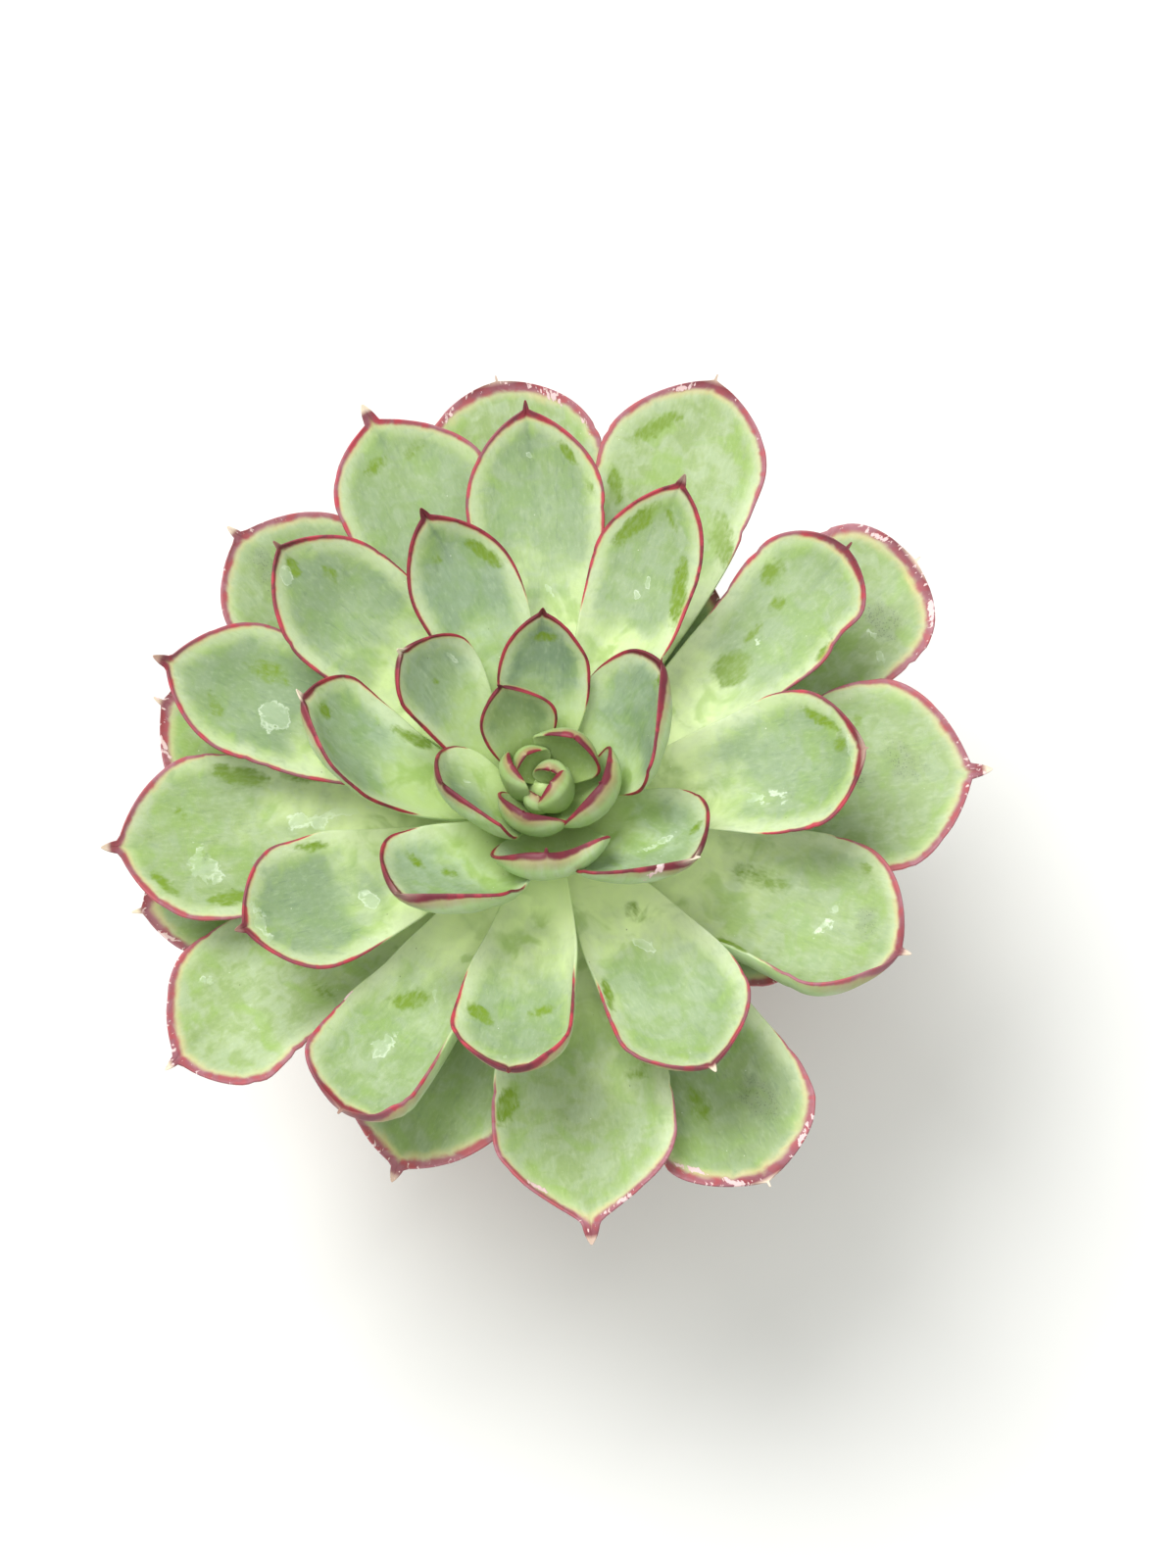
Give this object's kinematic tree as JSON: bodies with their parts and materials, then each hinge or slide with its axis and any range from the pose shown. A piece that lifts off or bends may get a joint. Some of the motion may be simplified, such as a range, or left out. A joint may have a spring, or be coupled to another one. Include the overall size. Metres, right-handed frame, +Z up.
{
  "type": "potted echeveria",
  "caption": "Rosette succulent with broad pointed grey-green leaves edged in crimson, growing on a short stem in a plain round terracotta pot.",
  "frame": {"origin": "middle of the pot's foot, on the surface that it stands on", "axes": "+Z up, -Y towards the viewer's side of the picture, +X to the right as the picture shows it"},
  "size_m": [0.1427, 0.1478, 0.122],
  "materials": {
    "terracotta": "dry unglazed clay, matt, a little mottled",
    "soil": "loose dark potting mix with a few pale grains",
    "stem": "firm green stem with pale leaf scars",
    "leaf_old": "smooth waxy green, pale border, dusty mauve margin",
    "leaf": "smooth waxy green with a blue-green bloom, thin crimson margin",
    "leaf_young": "waxy blue-green bloom, crimson margin, dark maroon point"
  },
  "bodies": {
    "root": {"pot": "terracotta", "soil": "soil", "stem": "stem", "heart": "leaf_young", "leaf_01": "leaf_old", "leaf_02": "leaf_old", "leaf_03": "leaf_old", "leaf_04": "leaf_old", "leaf_05": "leaf_old", "leaf_06": "leaf_old", "leaf_07": "leaf_old", "leaf_08": "leaf_old", "leaf_09": "leaf_old", "leaf_10": "leaf_old", "leaf_11": "leaf_old", "leaf_12": "leaf_old", "leaf_13": "leaf_old", "leaf_14": "leaf_old", "leaf_15": "leaf_old", "leaf_16": "leaf_old", "leaf_17": "leaf", "leaf_18": "leaf", "leaf_19": "leaf", "leaf_20": "leaf", "leaf_21": "leaf", "leaf_22": "leaf", "leaf_23": "leaf", "leaf_24": "leaf", "leaf_25": "leaf", "leaf_26": "leaf", "leaf_27": "leaf", "leaf_28": "leaf_young", "leaf_29": "leaf_young", "leaf_30": "leaf_young", "leaf_31": "leaf_young", "leaf_32": "leaf_young", "leaf_33": "leaf_young", "leaf_34": "leaf_young", "leaf_35": "leaf_young", "leaf_36": "leaf_young", "leaf_37": "leaf_young", "leaf_38": "leaf_young", "leaf_39": "leaf_young"}
  },
  "joints": []
}
